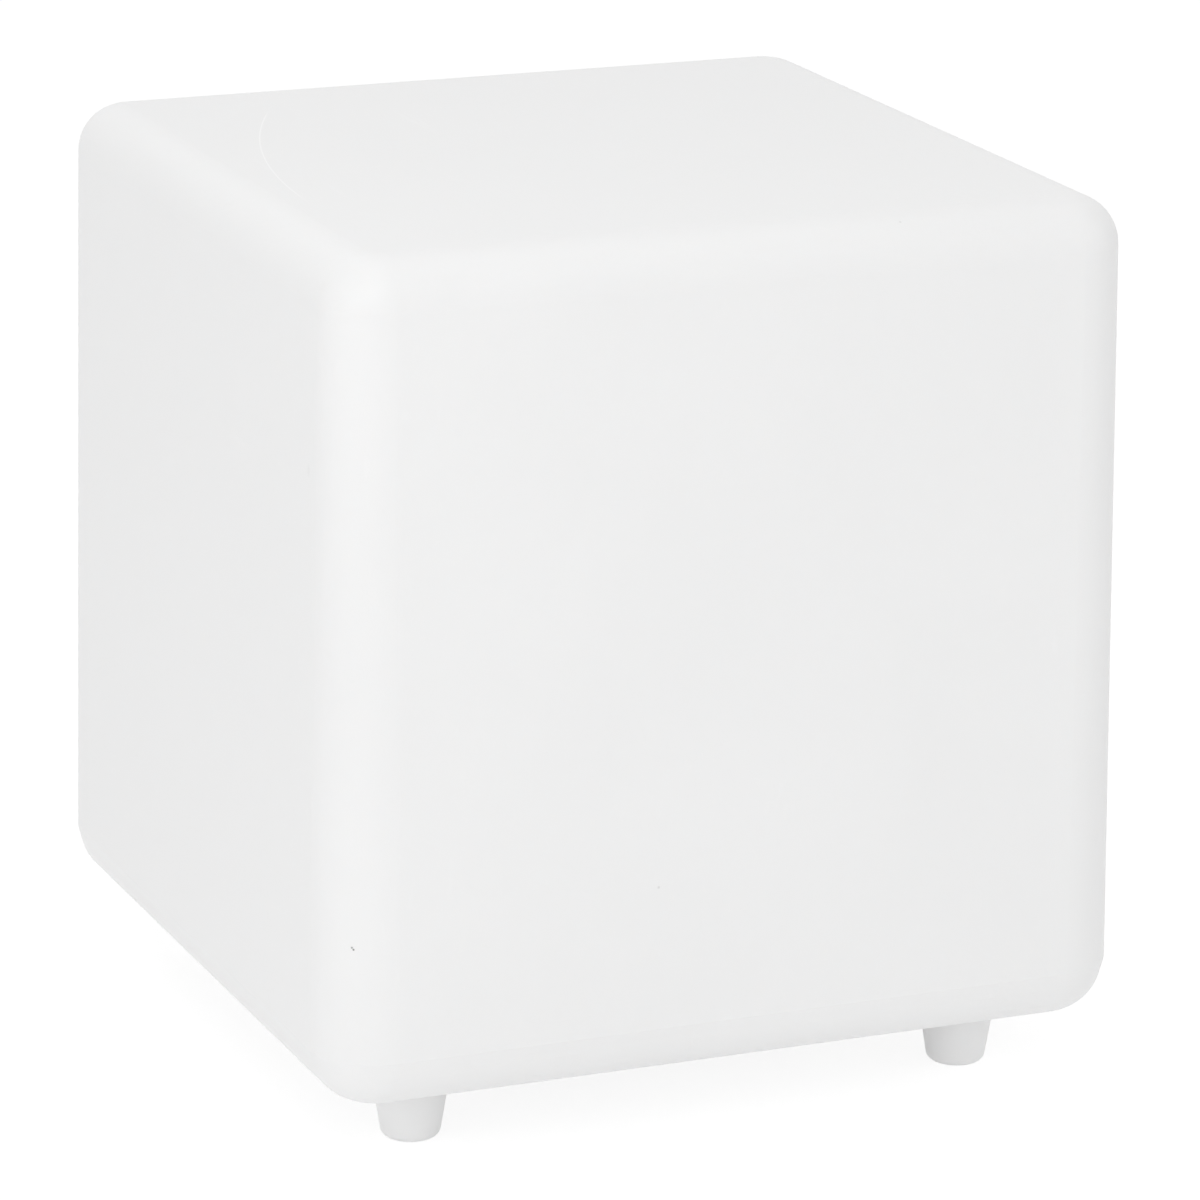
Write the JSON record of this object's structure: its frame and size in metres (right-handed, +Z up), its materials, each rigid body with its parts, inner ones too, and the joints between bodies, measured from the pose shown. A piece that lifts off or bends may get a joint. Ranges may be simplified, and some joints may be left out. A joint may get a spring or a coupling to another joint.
{
  "type": "led cube light",
  "caption": "Free-standing outdoor cube lamp: hollow white translucent cube with rounded edges on tapered round feet, with a sealed battery lamp module in its underside.",
  "frame": {"origin": "on the floor under the middle of the cube, at the centre of the bounding box's underside", "axes": "+Z up; -Y the front, which the picture shows as its large face; +X to the right seen from the front"},
  "size_m": [0.28, 0.28, 0.3],
  "materials": {
    "shell_plastic": "matt white translucent polyethylene with a fine moulded grain",
    "foot_plastic": "matt white polyethylene",
    "plate_plastic": "white moulded plastic, fine satin grain",
    "housing_plastic": "plain white moulded plastic",
    "opal_plastic": "opal light-diffusing plastic",
    "clear_plastic": "clear moulded light pipe",
    "button_plastic": "dark grey satin plastic",
    "black_plastic": "black moulded plastic",
    "grey_silicone": "soft grey silicone rubber",
    "seal_rubber": "black sealing rubber",
    "screw_steel": "zinc-plated steel",
    "contact_nickel": "nickel-plated spring steel",
    "insert_brass": "plain brass",
    "board_green": "green circuit board",
    "board_white": "white-lacquered aluminium board",
    "lamp_phosphor": "pale yellow lamp chips",
    "cell_wrap": "plain blue heat-shrink sleeve",
    "lead_insulation": "red insulated wire"
  },
  "bodies": {
    "cube": {"shell": "shell_plastic", "foot_front_left": "foot_plastic", "foot_front_right": "foot_plastic", "foot_rear_left": "foot_plastic", "foot_rear_right": "foot_plastic", "foot_screws": "screw_steel", "foot_inserts": "insert_brass", "module_inserts": "insert_brass", "module_screws": "screw_steel", "module_gasket": "seal_rubber", "base_plate": "plate_plastic", "button_seal": "seal_rubber", "power_switch": "black_plastic", "charge_socket": "black_plastic", "socket_pin": "contact_nickel", "socket_nut": "contact_nickel", "charge_indicator": "clear_plastic", "housing": "housing_plastic", "housing_seal": "seal_rubber", "housing_screws": "screw_steel", "control_board": "board_green", "board_components": "black_plastic", "board_screws": "screw_steel", "battery_holder": "black_plastic", "battery_cells": "cell_wrap", "battery_contacts": "contact_nickel", "holder_screws": "screw_steel", "led_board": "board_white", "leds": "lamp_phosphor", "led_board_screws": "screw_steel", "diffuser": "opal_plastic", "diffuser_screws": "screw_steel", "battery_leads": "lead_insulation", "led_leads": "lead_insulation", "socket_leads": "lead_insulation"},
    "button": {"power_button": "button_plastic", "switch_plunger": "button_plastic"},
    "plug": {"port_plug": "grey_silicone"}
  },
  "joints": [
    {"name": "button_press", "type": "slide", "parent": "cube", "child": "button", "axis": [0, 0, 1], "range_m": [0, 0.0015], "stiffness_N_per_m": 800, "springref_m": -0.001},
    {"name": "port_plug_pull", "type": "slide", "parent": "cube", "child": "plug", "axis": [0, 0, -1], "range_m": [0, 0.01]}
  ]
}
